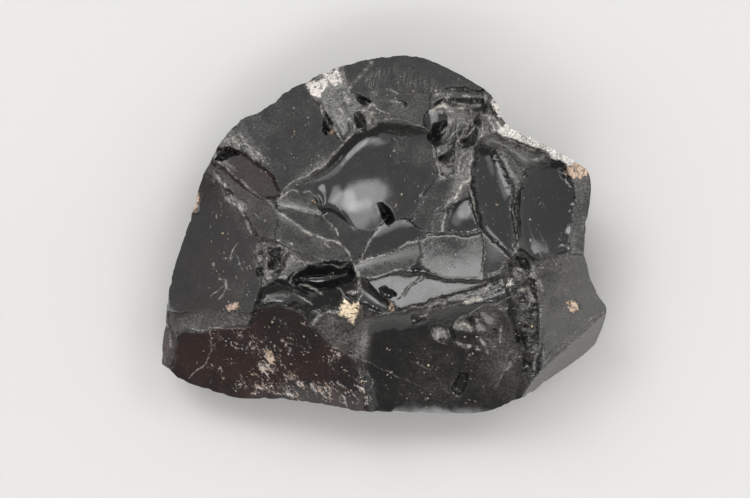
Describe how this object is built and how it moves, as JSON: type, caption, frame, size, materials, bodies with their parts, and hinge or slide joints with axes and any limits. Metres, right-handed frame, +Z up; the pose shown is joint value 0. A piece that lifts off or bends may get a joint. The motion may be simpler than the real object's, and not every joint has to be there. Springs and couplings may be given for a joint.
{
  "type": "obsidian chunk",
  "caption": "Palm-sized chunk of black volcanic glass with conchoidal fracture scars, sharp ridges and a crushed crest, lying on a flat fracture face.",
  "frame": {"origin": "centre of the chunk's outline on the surface that it rests on", "axes": "+X to the right across the scarred face, +Y towards the crown, +Z up out of the scarred face"},
  "size_m": [0.05, 0.0402, 0.0199],
  "materials": {
    "volcanic_glass": "black, opaque, glossy on fresh scars and dusty along the ridges, with mahogany tints and cream mineral specks"
  },
  "bodies": {
    "root": {"obsidian_chunk": "volcanic_glass"}
  },
  "joints": []
}
